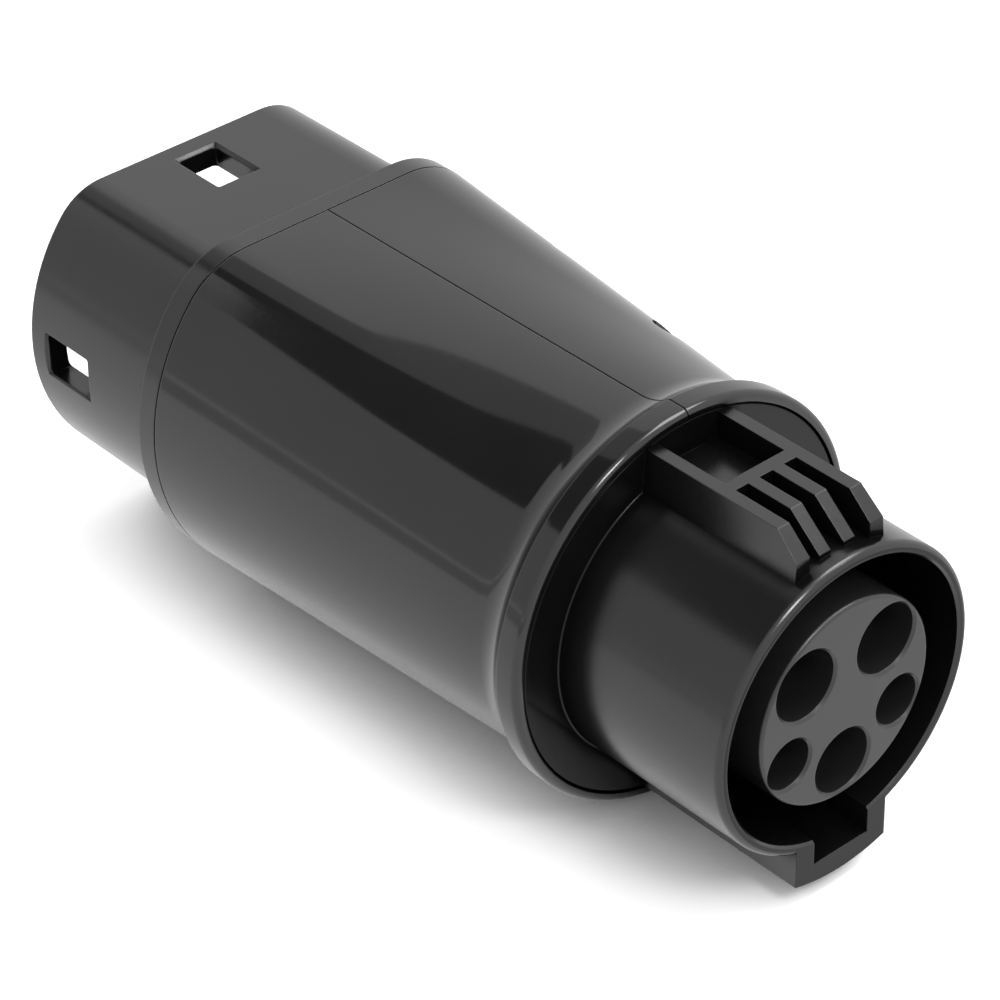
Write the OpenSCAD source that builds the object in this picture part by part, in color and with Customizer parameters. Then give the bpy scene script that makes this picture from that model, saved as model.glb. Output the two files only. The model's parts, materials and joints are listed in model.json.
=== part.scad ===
// Charging adapter with a round five-contact inlet at one end and a D-shaped plug at the other.
// It lies on the lowest point of its round rim, with +X out of the round inlet and +Z up to the catch.

/* [Round inlet] */
// Bore of the round shroud that a charging connector's nose enters
bore_d = 44.5; // [43.5:0.1:46]
// Wall of the round shroud
shroud_wall = 1.85; // [1.4:0.05:2.6]
// Reach of the round shroud in front of the flange
inlet_len = 31.7; // [27:0.1:36]
// Diameter of the contact boss in the middle
boss_d = 32.4; // [31.6:0.1:34]
// How far the boss stands back from the front
boss_setback = 0.2; // [0:0.1:2]
// Rounding of the shroud's outer front edge
front_round = 1.1; // [0.4:0.1:1.3]
// Rounding of the boss's front edge
boss_round = 0.6; // [0.2:0.1:1]
// Lead-in around each well
well_lead = 0.4; // [0.1:0.05:0.6]
// Depth of the wells
well_depth = 26; // [20:0.5:28]

/* [Inlet contacts] */
// Sideways place of the two power contacts
power_y = 7.7; // [7:0.05:7.9]
// Height of the two power contacts above the axis
power_z = 6.6; // [6:0.05:6.8]
// Well around a power contact
power_well_d = 10.9; // [9:0.1:11]
// Depth of the earth contact below the axis
earth_z = 10.4; // [9.8:0.05:10.5]
// Well around the earth contact
earth_well_d = 10.2; // [8.6:0.1:10.4]
// Sideways place of the two signal contacts
signal_y = 10.5; // [10:0.05:10.6]
// Depth of the two signal contacts below the axis
signal_z = 5.4; // [5:0.05:5.6]
// Well around a signal contact
signal_well_d = 7.9; // [6.4:0.1:8]
// Diameter of a power pin
power_pin_d = 3.6; // [3:0.1:4.2]
// Diameter of the earth pin
earth_pin_d = 2.8; // [2.4:0.1:3.6]
// Diameter of a signal pin
signal_pin_d = 1.5; // [1.2:0.1:2]
// How far the pins' tips stand back from the front
pin_setback = 10.5; // [9:0.5:16]

/* [Catch and key] */
// Height of the catch's top above the axis
catch_top = 29.45; // [28:0.05:30]
// Half width over the catch's two walls at their tops
catch_half = 7.85; // [7:0.05:9]
// How much wider each wall stands at its foot
catch_draft = 0.65; // [0:0.05:1]
// Thickness of a catch wall
catch_wall = 2.15; // [1.6:0.05:2.8]
// Distance of the latch bar's front from the shroud's front
bar_front = 16.5; // [14:0.1:18]
// Thickness of the latch bar
bar_t = 2.2; // [1.6:0.1:3]
// Thickness of each of the two ramp ribs
rib_t = 2.1; // [1.4:0.1:2.2]
// Half of the space between the ramp ribs
rib_gap = 1.25; // [1:0.05:1.4]
// Height of the latch pocket's floor above the axis
pocket_floor = 25.2; // [24.4:0.1:26]
// Half width of the key housing under the shroud
key_half = 8.8; // [8:0.1:10]
// Radius of the key housing's curved underside about the axis
key_r = 29.4; // [28.8:0.1:30.4]
// Half width of the key channel
channel_half = 5.3; // [4.6:0.1:6]
// Depth of the key channel's floor below the axis
channel_floor = 25.8; // [25.2:0.1:26.4]
// How far the key channel runs in from the front
channel_len = 28; // [22:0.5:29]

/* [Body shells] */
// Length of the body shells
body_len = 77.4; // [66:0.1:90]
// Diameter of the round rim at the flange
rim_d = 64.4; // [63.6:0.1:66]
// Diameter of the neck behind the rim
neck_d = 60.2; // [58.6:0.1:61]
// Distance over which the neck flares out to the rim
flare_len = 5.8; // [3.5:0.1:7]
// Length of the rim
rim_len = 3.9; // [2.8:0.1:4.6]
// Rounding of the rim's front edge
rim_round = 1.1; // [0.5:0.1:1.2]
// Diameter of the body's round part where it meets the collar
body_d = 68.9; // [67:0.1:72]
// Height of the body's flat top above the centre of that round part
flat_up = 27.25; // [26:0.05:28]
// Rounding between the flat top and the round part
corner_r = 14.1; // [12:0.1:16]
// How far the D-shaped end's centre lies above the round inlet's axis
d_rise = 2.75; // [2:0.05:3]
// Wall of the body shells
shell_wall = 2.6; // [2:0.1:3]
// Gap that shows as a seam between the two shells
seam_gap = 0.2; // [0.1:0.05:0.3]
// Gap that shows between the shells and the collar
reveal = 0.25; // [0.1:0.05:0.4]
// Clearance of pieces that fit into each other
fit = 0.15; // [0.1:0.05:0.2]

/* [D-shaped plug] */
// Length of the collar
collar_len = 3.6; // [2.6:0.1:6]
// Reach of the D-shaped shroud behind the collar
plug_len = 32; // [28:0.5:38]
// How far the shroud stands in from the collar
collar_step = 3.75; // [3:0.05:4.2]
// Wall of the D-shaped shroud
plug_wall = 3.7; // [3:0.1:4]
// Length of a lock window
window_len = 10.2; // [8:0.1:12]
// Width of a lock window
window_w = 7.1; // [6:0.1:8]
// Distance of the windows from the mouth
window_in = 3.75; // [3:0.05:6]
// Corner rounding of a window
window_r = 0.8; // [0.5:0.1:1.2]
// Chamfer around a window
window_break = 0.5; // [0.2:0.1:0.7]
// How far the contact towers stand back from the mouth
tower_setback = 6; // [4.5:0.5:10]

/* [Plug contacts] */
// Sideways place of the outer two power towers
outer_y = 16.3; // [15.8:0.1:16.8]
// Sideways place of the lower two power towers
lower_y = 8.8; // [8.2:0.1:9.2]
// Depth of the lower two power towers below the centre
lower_z = 14.4; // [13.8:0.1:14.8]
// Sideways place of the two signal towers
upper_y = 8.2; // [7.6:0.1:8.6]
// Height of the two signal towers above the centre
upper_z = 12.4; // [12:0.1:13]
// Diameter of a power tower
power_tower_d = 12; // [11:0.1:12.4]
// Diameter of a signal tower
signal_tower_d = 8.6; // [7.6:0.1:9]
// Bore of a power socket
power_socket_d = 6.1; // [5.6:0.1:6.3]
// Bore of a signal socket
signal_socket_d = 3.1; // [2.6:0.1:3.3]

/* [Wires and screws] */
// Diameter of the power and earth wires over their insulation
power_wire_d = 4.6; // [3.6:0.1:5]
// Diameter of the signal wires over their insulation
signal_wire_d = 2.2; // [1.6:0.1:2.6]
// Thread diameter of every screw
screw_d = 3; // [2.5:0.5:3]
// Height of the body screws above and below the axis
body_screw_z = 21.6; // [21:0.1:22]

/* [Hidden] */
$fn = 96;

// Places along the axis count back from the front of the round shroud, so they are negative.
total_len = inlet_len - 0.2 + body_len + collar_len + plug_len;
front_x = total_len / 2;
axis_z = rim_d / 2;
flange_x = -inlet_len;
rim_front = flange_x + 0.2;
collar_front = rim_front - body_len;
collar_back = collar_front - collar_len;
shell_back = collar_front + reveal;
mouth_x = collar_back - plug_len;

// Round inlet
bore_r = bore_d / 2;
shroud_r = bore_r + shroud_wall;
flange_t = 3;
flange_r = rim_d / 2 - rim_round - 0.5;
mouth_r = flange_r + fit;
tube_depth = 13;
tube_back = flange_x - tube_depth;
neck_r = neck_d / 2;
tube_r = neck_r - shell_wall - 2 * fit;
root_fillet = 0.3;
edge_break = 0.4;
boss_r = boss_d / 2;
plug_in_bore_r = bore_r - fit;
carrier_flange_t = 1.5;
carrier_back = tube_back - carrier_flange_t;
block_flange_back = carrier_back - 1.5;
pin_block_r = 18;
pin_block_len = 5;
pin_block_back = block_flange_back - pin_block_len;
pin_collar_t = 2.5;
shank_step = 0.25;
pin_clear = 0.05;
pin_lip = 0.6;
retainer_t = 2.5;
power_barrel_len = 8;
signal_barrel_len = 5;
seal_r = 0.95;
seal_x = flange_x - tube_depth / 2;

// Contact places in the round inlet, seen from its front: [y, z]
live_in = [-power_y, power_z];
neutral_in = [power_y, power_z];
earth_in = [0, -earth_z];
pilot_in = [-signal_y, -signal_z];
proximity_in = [signal_y, -signal_z];

// Contact places in the D-shaped plug: [y, z]
live_out = [-outer_y, d_rise];
neutral_out = [outer_y, d_rise];
earth_out = [0, d_rise];
pilot_out = [-upper_y, d_rise + upper_z];
proximity_out = [upper_y, d_rise + upper_z];
spare_out = [[-lower_y, d_rise - lower_z], [lower_y, d_rise - lower_z]];

// D-shaped plug
body_r = body_d / 2;
flat_half = sqrt(pow(body_r - corner_r, 2) - pow(flat_up - corner_r, 2));
spigot_len = 8.4;
spigot_inset = shell_wall + 0.9;
spigot_front = collar_front + spigot_len;
cavity_inset = collar_step + plug_wall;
base_t = 6;
base_back = spigot_front - base_t;
base_inset = cavity_inset + 1.55;
socket_flange_t = 3;
socket_flange_front = spigot_front + socket_flange_t;
socket_block_front = socket_flange_front + 5;
tower_end = mouth_x + tower_setback;
tower_lip = 2;
socket_len = 22;
socket_collar_t = 2.5;
groove_w = 2;
groove_depth = 1.5;
groove_x = spigot_front - 5.6;
seal_inset = shell_wall + 0.35;

// Screws
screw_r = screw_d / 2;
pilot_r = screw_r - 0.25;
clear_r = screw_r + 0.2;
head_r = screw_r + 1.3;
head_t = 2;
head_room = 0.3;
flange_screw_r = (bore_r + tube_r) / 2;
flange_screw_angles = [60, 180, 300];
plug_screw_r = body_r - (spigot_inset + base_inset) / 2 - 0.15;
plug_screw_angles = [20, 160, 215, 325];
retainer_screw_low = 9.5;
retainer_screw_high = 8.8;
retainer_screw_places = [[0, d_rise - retainer_screw_low], [0, d_rise + retainer_screw_high]];
carrier_pilot = 8;
plug_pilot = 5;
retainer_pilot = 9;
carrier_screw_len = tube_back - block_flange_back + carrier_pilot - 1;
flange_screw_len = socket_flange_t + plug_pilot - 0.5;
pin_retainer_screw_len = retainer_t + carrier_back - pin_block_back - 0.5;
socket_retainer_screw_len = retainer_t + retainer_pilot - 1.5;
body_screw_behind = 14;
body_screw_ahead = 16;
body_screw_x = [tube_back - body_screw_behind, spigot_front + body_screw_ahead];
body_screw_seat = 10;
body_screw_len = 18;
slot_len = 3.2;
slot_w = 0.7;
slot_depth = 1.2;

// Wires
wire_sides = 10;
power_wire_r = power_wire_d / 2;
signal_wire_r = signal_wire_d / 2;
pin_barrel_x = pin_block_back - retainer_t;
socket_barrel_x = socket_block_front + retainer_t;

// The frame of every piece: the centre of the round shroud's front
module placed() translate([front_x, 0, axis_z]) children();

// A solid of revolution about the axis, drawn as [radius, x]
module turned() rotate([90, 0, 90]) rotate_extrude() children();

// A section drawn as [y, z], run from one place along the axis to another
module run(from, to) translate([from, 0, 0]) rotate([90, 0, 90]) linear_extrude(to - from) children();

// A side outline drawn as [x, z], run sideways between two places
module across(from, to) translate([0, to, 0]) rotate([90, 0, 0]) linear_extrude(to - from) children();

// A round rod along the axis at a contact's or a screw's place
module rod(from, to, r, at = [0, 0]) run(from, to) translate(at) circle(r = r);

// A cone along the axis that is r_from wide at its first end
module cone(from, to, r_from, r_to, at = [0, 0])
    translate([from, at[0], at[1]]) rotate([0, 90, 0]) cylinder(r1 = r_from, r2 = r_to, h = to - from);

// Points of an arc, from one angle to another
function arc(centre, r, from, to, steps = 6) =
    [for (k = [0:steps]) let (a = from + (to - from) * k / steps) centre + r * [cos(a), sin(a)]];

// A round place at an angle about a centre
function polar(r, a, centre = [0, 0]) = centre + r * [cos(a), sin(a)];

// The D-shaped section at a given distance inside the collar's outline, about the axis
module d_section(inset) {
    r = body_r - inset;
    up = flat_up - inset;
    c = corner_r - inset;
    tangent_z = r * (up - c) / (r - c);
    translate([0, d_rise]) {
        intersection() {
            circle(r = r);
            translate([-r - 1, -r - 1]) square([2 * r + 2, tangent_z + r + 1]);
        }
        for (side = [-1, 1]) translate([side * flat_half, up - c]) circle(r = c);
        translate([-flat_half, 0]) square([2 * flat_half, up]);
    }
}

// A rectangle with round corners, centred
module rounded_rect(w, h, r) {
    square([w - 2 * r, h], center = true);
    square([w, h - 2 * r], center = true);
    for (sx = [-1, 1], sy = [-1, 1]) translate([sx * (w / 2 - r), sy * (h / 2 - r)]) circle(r = r);
}

// Distance from the D-shaped section's centre to its outline in one direction
function d_reach(a, inset) =
    let (r = body_r - inset, up = flat_up - inset, c = corner_r - inset,
         side = abs(cos(a)), rise = sin(a), elevation = atan2(rise, side),
         along = flat_half * side + (up - c) * rise)
    elevation <= atan2(up - c, flat_half) ? r
    : elevation <= atan2(up, flat_half) ? along + sqrt(along * along - pow(flat_half, 2) - pow(up - c, 2) + c * c)
    : up / rise;

// The body's loft from the D-shaped section at the collar (t = 0) to the round neck (t = 1)
loft_sides = 96;
loft_steps = 3;
neck_x = rim_front - rim_len - flare_len;
function loft_ring(t, inset) =
    [for (k = [0:loft_sides - 1])
        let (a = 360 * k / loft_sides, reach = (1 - t) * d_reach(a, inset) + t * (neck_r - inset))
        [shell_back + t * (neck_x - shell_back), reach * cos(a), (1 - t) * d_rise + reach * sin(a)]];

module loft(inset, t_from, t_to) {
    n = loft_sides;
    points = [for (s = [0:loft_steps]) each loft_ring(t_from + (t_to - t_from) * s / loft_steps, inset)];
    sides = [for (s = [0:loft_steps - 1], k = [0:n - 1])
        let (a = s * n + k, b = s * n + (k + 1) % n) each [[a, b + n, b], [a, a + n, b + n]]];
    first = [for (k = [0:n - 1]) k];
    last = [for (k = [0:n - 1]) loft_steps * n + n - 1 - k];
    polyhedron(points = points, faces = concat([first], [last], sides));
}

// The round rim: a hollow flare from the neck, a crease, a short land and a rounded front edge
rim_bore_r = neck_r - shell_wall - 0.1;
function flare_r(t) = neck_r - 0.05 + (rim_d / 2 - neck_r + 0.05) * t * t;
module rim() {
    ledge_x = flange_x - flange_t - 0.1;
    flare = [for (k = [0:10]) [flare_r(k / 10), neck_x + flare_len * k / 10]];
    edge = arc([rim_d / 2 - rim_round, rim_front - rim_round], rim_round, 0, 90);
    turned() polygon(concat([[rim_bore_r, neck_x - 1.5], [neck_r - shell_wall / 2, neck_x - 1.5]], flare, edge,
        [[mouth_r, rim_front], [mouth_r, ledge_x], [rim_bore_r, ledge_x]]));
}

module body_tube() {
    difference() {
        loft(0, 0, 1);
        loft(shell_wall, -0.02, 1.02);
    }
    rim();
}

// A half space on one side of the seam
module half(side) translate([-total_len, side > 0 ? seam_gap / 2 : -total_len, -total_len])
    cube([2 * total_len, total_len - seam_gap / 2, 2 * total_len]);

// Screw pillars inside one shell, each ending in the middle of the shell's wall
module pillars(side, r) for (x = body_screw_x) {
    t = (x - shell_back) / (neck_x - shell_back);
    intersection() {
        for (up = [-1, 1]) translate([x, side * seam_gap / 2, up * body_screw_z])
            rotate([-90 * side, 0, 0]) cylinder(r = r, h = body_r);
        rod(x - 10, x + 10, (1 - t) * body_r + t * neck_r - shell_wall / 2, [0, (1 - t) * d_rise]);
    }
}

module body_shell_left() color("#1c1d1f") placed() difference() {
    union() {
        intersection() {
            body_tube();
            half(-1);
        }
        pillars(-1, screw_r + 2);
    }
    for (x = body_screw_x, up = [-1, 1]) translate([x, 0, up * body_screw_z])
        rotate([90, 0, 0]) cylinder(r = pilot_r, h = body_screw_len - body_screw_seat + 2);
}

module body_shell_right() color("#1c1d1f") placed() difference() {
    union() {
        intersection() {
            body_tube();
            half(1);
        }
        pillars(1, head_r + head_room + 1.2);
    }
    for (x = body_screw_x, up = [-1, 1]) translate([x, 0, up * body_screw_z]) rotate([-90, 0, 0]) {
        cylinder(r = clear_r, h = body_r);
        translate([0, 0, body_screw_seat]) cylinder(r = head_r + head_room, h = body_r);
    }
}

// Latch catch on top of the round shroud: two walls, a latch bar, a pocket behind it and two ramp ribs
module catch() {
    foot = shroud_r - 2.3;
    slope = 4;
    nose = -2.4;
    rib_nose = -2.9;
    rib_slope = 5.6;
    rib_low = 24.7;
    wall_low = catch_top - slope + 0.4;
    inner = catch_half - catch_wall;
    intersection() {
        run(flange_x - 1, 0) for (side = [-1, 1]) polygon([[side * inner, foot],
            [side * (catch_half + catch_draft), foot], [side * catch_half, catch_top], [side * inner, catch_top]]);
        across(-12, 12) polygon([[flange_x - 1, foot], [flange_x - 1, catch_top], [nose - slope, catch_top],
            [nose, wall_low], [nose, foot]]);
    }
    translate([-bar_front - bar_t, -inner - 0.1, foot + 1])
        cube([bar_t, 2 * inner + 0.2, catch_top - foot - 1]);
    translate([flange_x - 1, -inner - 0.1, foot + 1])
        cube([inlet_len + 1 - bar_front - bar_t / 2, 2 * inner + 0.2, pocket_floor - foot - 1]);
    for (side = [-1, 1]) {
        low = side > 0 ? rib_gap : -rib_gap - rib_t;
        across(low, low + rib_t) polygon([[-bar_front - bar_t / 2, foot + 1], [-bar_front - bar_t / 2, catch_top],
            [rib_nose - rib_slope, catch_top], [rib_nose, rib_low], [rib_nose, foot + 1]]);
    }
}

module key_housing() run(flange_x - 1, 0) intersection() {
    circle(r = key_r);
    translate([-key_half, -key_r - 1]) square([2 * key_half, key_r - bore_r + 5]);
}

module inlet_shell() color("#1a1b1d") placed() difference() {
    union() {
        turned() polygon(concat(
            [[bore_r - 1, 0]],
            arc([shroud_r - front_round, -front_round], front_round, 90, 0),
            arc([shroud_r + root_fillet, flange_x + root_fillet], root_fillet, 180, 270, 4),
            [[flange_r - edge_break, flange_x], [flange_r, flange_x - edge_break],
             [flange_r, flange_x - flange_t], [tube_r, flange_x - flange_t], [tube_r, tube_back],
             [bore_r - 1, tube_back]]));
        catch();
        key_housing();
    }
    rod(tube_back - 1, 1, bore_r);
    cone(-edge_break, 0.01, bore_r, bore_r + edge_break);
    translate([-channel_len, -channel_half, -channel_floor])
        cube([channel_len + 1, 2 * channel_half, channel_floor - bore_r / 2]);
    for (a = flange_screw_angles) rod(tube_back - 1, tube_back + carrier_pilot, pilot_r, polar(flange_screw_r, a));
}

// One stepped hole through the pin carrier: well, lip, shank bore and the collar's seat
module pin_hole(at, well_d, pin_d, collar_r) {
    rod(-well_depth, 1, well_d / 2, at);
    cone(-boss_setback - well_lead, -boss_setback + 0.01, well_d / 2, well_d / 2 + well_lead, at);
    rod(-well_depth - pin_lip - 1, -well_depth + 1, pin_d / 2 + pin_clear, at);
    rod(pin_block_back - 1, -well_depth - pin_lip, pin_d / 2 + shank_step + pin_clear, at);
    rod(pin_block_back - 1, pin_block_back + pin_collar_t + 0.1, collar_r + 0.1, at);
}

power_collar_r = 3.4;
earth_collar_r = 3.2;
signal_collar_r = 2.1;
module pin_holes() {
    for (at = [live_in, neutral_in]) pin_hole(at, power_well_d, power_pin_d, power_collar_r);
    pin_hole(earth_in, earth_well_d, earth_pin_d, earth_collar_r);
    for (at = [pilot_in, proximity_in]) pin_hole(at, signal_well_d, signal_pin_d, signal_collar_r);
}

module pin_carrier() color("#232427") placed() difference() {
    turned() polygon(concat(
        [[0, -boss_setback]],
        arc([boss_r - boss_round, -boss_setback - boss_round], boss_round, 90, 0),
        [[boss_r, flange_x], [plug_in_bore_r, flange_x], [plug_in_bore_r, seal_x + seal_r + fit],
         [plug_in_bore_r - 2 * seal_r, seal_x + seal_r + fit],
         [plug_in_bore_r - 2 * seal_r, seal_x - seal_r - fit],
         [plug_in_bore_r, seal_x - seal_r - fit], [plug_in_bore_r, tube_back], [tube_r, tube_back],
         [tube_r, carrier_back], [0, carrier_back]]));
    pin_holes();
    for (a = flange_screw_angles) rod(carrier_back - 1, tube_back + 1, clear_r, polar(flange_screw_r, a));
}

// The block behind the carrier, which the pins' collars sit in
module pin_block() color("#232427") placed() difference() {
    turned() polygon([[0, carrier_back], [tube_r, carrier_back], [tube_r, block_flange_back],
        [pin_block_r, block_flange_back], [pin_block_r, pin_block_back], [0, pin_block_back]]);
    pin_holes();
    rod(pin_block_back - 1, carrier_back + 1, pilot_r);
    for (a = flange_screw_angles) rod(block_flange_back - 1, carrier_back + 1, clear_r, polar(flange_screw_r, a));
}

module inlet_seal() color("#3a3c40") placed() turned()
    translate([plug_in_bore_r - seal_r + fit / 2, seal_x]) circle(r = seal_r, $fn = 32);

// A pin with a round tip, a groove at the well's lip, a thicker shank behind it, a collar and a crimp barrel
module pin(at, d, collar_r, barrel_r, bore, barrel_len) color("#c9cbd0") placed() {
    r = d / 2;
    barrel_end = pin_barrel_x - barrel_len;
    translate([0, at[0], at[1]]) difference() {
        turned() polygon(concat(
            [[0, barrel_end], [barrel_r, barrel_end], [barrel_r, pin_block_back], [collar_r, pin_block_back],
             [collar_r, pin_block_back + pin_collar_t], [r + shank_step, pin_block_back + pin_collar_t],
             [r + shank_step, -well_depth - pin_lip], [r - shank_step, -well_depth - pin_lip],
             [r - shank_step, -well_depth], [r, -well_depth]],
            arc([0, -pin_setback - r], r, 0, 90)));
        rod(barrel_end - 1, barrel_end + barrel_len - 1.5, bore);
    }
}

power_barrel_r = 2.7;
signal_barrel_r = 1.5;
power_core_r = 1.6;
signal_core_r = 0.7;

module power_pin(at, d, collar_r) pin(at, d, collar_r, power_barrel_r, power_core_r, power_barrel_len);
module signal_pin(at)
    pin(at, signal_pin_d, signal_collar_r, signal_barrel_r, signal_core_r, signal_barrel_len);
module pin_live() power_pin(live_in, power_pin_d, power_collar_r);
module pin_neutral() power_pin(neutral_in, power_pin_d, power_collar_r);
module pin_earth() power_pin(earth_in, earth_pin_d, earth_collar_r);
module pin_pilot() signal_pin(pilot_in);
module pin_proximity() signal_pin(proximity_in);

module pin_retainer() color("#d9d4c4") placed() difference() {
    rod(pin_block_back - retainer_t, pin_block_back, pin_block_r - 0.5);
    for (at = [live_in, neutral_in, earth_in])
        rod(pin_block_back - retainer_t - 1, pin_block_back + 1, power_barrel_r + 0.1, at);
    for (at = [pilot_in, proximity_in])
        rod(pin_block_back - retainer_t - 1, pin_block_back + 1, signal_barrel_r + 0.1, at);
    rod(pin_block_back - retainer_t - 1, pin_block_back + 1, clear_r);
}

// A window's chamfer: two wedges that cross, so that its corners are mitred
module window_wedge(width, surface) linear_extrude(window_len + window_w, center = true)
    polygon([[-width / 2, surface - window_break], [width / 2, surface - window_break],
        [width / 2 + 2 * window_break, surface + window_break], [-width / 2 - 2 * window_break, surface + window_break]]);
module window_chamfer(surface) intersection() {
    rotate([90, 0, 0]) window_wedge(window_len, surface);
    rotate([90, 0, 90]) window_wedge(window_w, surface);
}

// Lock windows through the D-shaped shroud: one in the flat top and one in each side
module windows() {
    centre_x = mouth_x + window_in + window_len / 2;
    for (a = [0, 90, 180]) translate([centre_x, 0, d_rise]) rotate([a - 90, 0, 0]) {
        translate([0, 0, flat_up - cavity_inset - 2]) linear_extrude(body_r)
            rounded_rect(window_len, window_w, window_r);
        window_chamfer((a == 90 ? flat_up : body_r) - collar_step);
    }
}

module plug_shell() color("#1a1b1d") placed() difference() {
    union() {
        run(mouth_x, collar_back + 0.5) d_section(collar_step);
        run(collar_back, collar_front) d_section(0);
        run(collar_front - 0.5, spigot_front) d_section(spigot_inset);
    }
    run(mouth_x - 1, base_back) d_section(cavity_inset);
    run(base_back - 1, spigot_front + 1) d_section(base_inset);
    run(groove_x - groove_w, groove_x) difference() {
        d_section(0);
        d_section(spigot_inset + groove_depth);
    }
    windows();
    for (a = plug_screw_angles)
        rod(spigot_front - plug_pilot, spigot_front + 1, pilot_r, polar(plug_screw_r, a, [0, d_rise]));
}

module plug_seal() color("#3a3c40") placed() run(groove_x - groove_w + 0.1, groove_x - 0.1) difference() {
    d_section(seal_inset);
    d_section(spigot_inset + groove_depth - 0.05);
}

power_sleeve_r = 3.95;
power_seat_r = 4.7;
signal_sleeve_r = 2.15;
signal_seat_r = 3;

// The block behind the sockets, which keeps to the contact layout whatever the body's size
socket_block_wall = 1.5;
socket_block_r = outer_y + power_seat_r + socket_block_wall;
socket_block_top = upper_z + signal_seat_r + socket_block_wall;
module block_section() translate([0, d_rise]) intersection() {
    circle(r = socket_block_r);
    translate([-socket_block_r, -socket_block_r]) square([2 * socket_block_r, socket_block_r + socket_block_top]);
}

// One stepped hole through the socket carrier: the tower's mouth, the sleeve's bore and the collar's seat
module socket_hole(at, socket_d, sleeve_r, seat_r) {
    mouth_r = socket_d / 2 + 0.25;
    rod(tower_end - 1, tower_end + tower_lip + 1, mouth_r, at);
    cone(tower_end - 0.01, tower_end + 0.5, mouth_r + 0.5, mouth_r, at);
    rod(tower_end + tower_lip, socket_block_front + 1, sleeve_r + 0.1, at);
    rod(socket_block_front - socket_collar_t - 0.1, socket_block_front + 1, seat_r + 0.1, at);
}

module tower(at, d) {
    rod(tower_end + 0.5, base_back + 1, d / 2, at);
    cone(tower_end, tower_end + 0.5, d / 2 - 0.5, d / 2, at);
}

module socket_carrier() color("#232427") placed() difference() {
    union() {
        run(base_back, spigot_front + 1) d_section(base_inset + fit);
        run(spigot_front, socket_flange_front) d_section(spigot_inset + 0.5);
        run(socket_flange_front, socket_block_front) block_section();
        for (at = concat([live_out, neutral_out, earth_out], spare_out)) tower(at, power_tower_d);
        for (at = [pilot_out, proximity_out]) tower(at, signal_tower_d);
    }
    for (at = [live_out, neutral_out, earth_out])
        socket_hole(at, power_socket_d, power_sleeve_r, power_seat_r);
    for (at = [pilot_out, proximity_out])
        socket_hole(at, signal_socket_d, signal_sleeve_r, signal_seat_r);
    for (at = spare_out) {
        rod(tower_end - 1, base_back - 2, power_socket_d / 2 + 0.25, at);
        cone(tower_end - 0.01, tower_end + 0.5, power_socket_d / 2 + 0.75, power_socket_d / 2 + 0.25, at);
    }
    for (a = plug_screw_angles) {
        rod(spigot_front - 1, socket_flange_front + 1, clear_r, polar(plug_screw_r, a, [0, d_rise]));
        rod(socket_flange_front, socket_block_front + 1, head_r + fit, polar(plug_screw_r, a, [0, d_rise]));
    }
    for (at = retainer_screw_places) rod(socket_block_front - retainer_pilot, socket_block_front + 1, pilot_r, at);
}

// A socket with slotted spring fingers, a collar that the retainer holds and a crimp barrel
module socket(at, d, sleeve_r, seat_r, barrel_r, bore, barrel_len) color("#c9cbd0") placed() {
    first = tower_end + tower_lip + 0.1;
    barrel_end = socket_barrel_x + barrel_len;
    slot_w = 0.15 * sleeve_r;
    translate([0, at[0], at[1]]) difference() {
        turned() polygon([[0, first], [sleeve_r, first], [sleeve_r, socket_block_front - socket_collar_t],
            [seat_r, socket_block_front - socket_collar_t], [seat_r, socket_block_front],
            [barrel_r, socket_block_front], [barrel_r, barrel_end], [0, barrel_end]]);
        rod(first - 1, first + socket_len, d / 2);
        for (turn = [0, 90]) translate([first - 1, 0, 0]) rotate([turn, 0, 0])
            translate([0, -slot_w / 2, -sleeve_r - 1]) cube([socket_len - 4, slot_w, 2 * sleeve_r + 2]);
        rod(barrel_end - barrel_len + 1.5, barrel_end + 1, bore);
    }
}

module power_socket(at)
    socket(at, power_socket_d, power_sleeve_r, power_seat_r, power_barrel_r, power_core_r, power_barrel_len);
module signal_socket(at)
    socket(at, signal_socket_d, signal_sleeve_r, signal_seat_r, signal_barrel_r, signal_core_r, signal_barrel_len);
module socket_live() power_socket(live_out);
module socket_neutral() power_socket(neutral_out);
module socket_earth() power_socket(earth_out);
module socket_pilot() signal_socket(pilot_out);
module socket_proximity() signal_socket(proximity_out);

module socket_retainer() color("#d9d4c4") placed() difference() {
    run(socket_block_front, socket_block_front + retainer_t) block_section();
    for (at = [live_out, neutral_out, earth_out])
        rod(socket_block_front - 1, socket_block_front + retainer_t + 1, power_barrel_r + 0.1, at);
    for (at = [pilot_out, proximity_out])
        rod(socket_block_front - 1, socket_block_front + retainer_t + 1, signal_barrel_r + 0.1, at);
    for (at = retainer_screw_places)
        rod(socket_block_front - 1, socket_block_front + retainer_t + 1, clear_r, at);
}

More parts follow.
